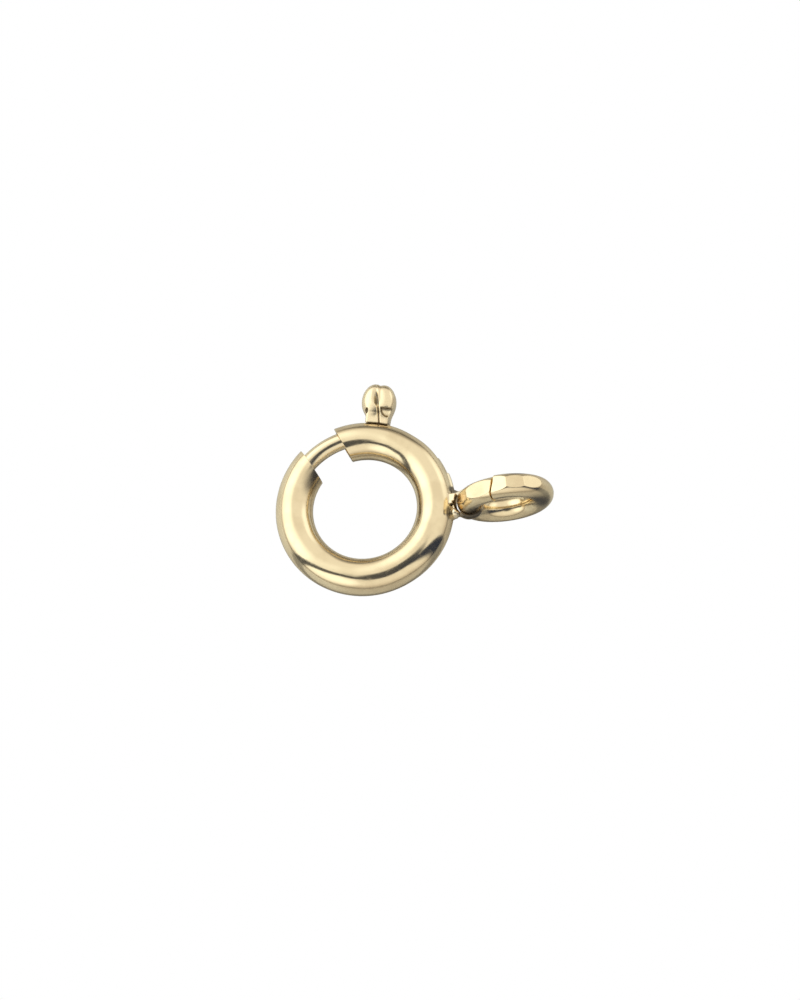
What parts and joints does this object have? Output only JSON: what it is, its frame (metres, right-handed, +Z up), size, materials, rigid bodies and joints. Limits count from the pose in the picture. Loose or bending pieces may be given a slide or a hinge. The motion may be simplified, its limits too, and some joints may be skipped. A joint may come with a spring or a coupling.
{
  "type": "spring ring clasp",
  "caption": "Round hollow spring ring clasp whose bolt draws back by a trigger, with a split jump ring through its eye.",
  "frame": {"origin": "centre of the main ring, where the link that it holds passes through", "axes": "+X from the main ring towards the eye and the jump ring, +Z up from the surface that it lies on"},
  "size_m": [0.0093, 0.0073, 0.0033],
  "materials": {
    "ring_gold": "polished pale yellow gold",
    "bolt_gold": "polished pale yellow gold",
    "trigger_gold": "polished pale yellow gold",
    "spring_steel": "bright drawn wire",
    "jump_ring_gold": "polished pale yellow gold"
  },
  "bodies": {
    "ring": {"ring_body": "ring_gold", "spring": "spring_steel"},
    "bolt": {"bolt": "bolt_gold", "trigger": "trigger_gold"},
    "jump": {"jump_ring": "jump_ring_gold"}
  },
  "joints": [
    {"name": "bolt_turn", "type": "hinge", "parent": "ring", "child": "bolt", "pos_m": [0, 0, 0], "axis": [-0.1413, 0.0224, 0.9897], "range_deg": [-40.3, 0], "stiffness_Nm_per_rad": 0.000003, "springref_deg": 28.65, "deforming": ["spring"]},
    {"name": "jump_swing", "type": "hinge", "parent": "ring", "child": "jump", "pos_m": [0.00346, 0.00021, 0.00049], "axis": [-0.1413, 0.0224, 0.9897], "range_deg": [-114, 74]}
  ]
}
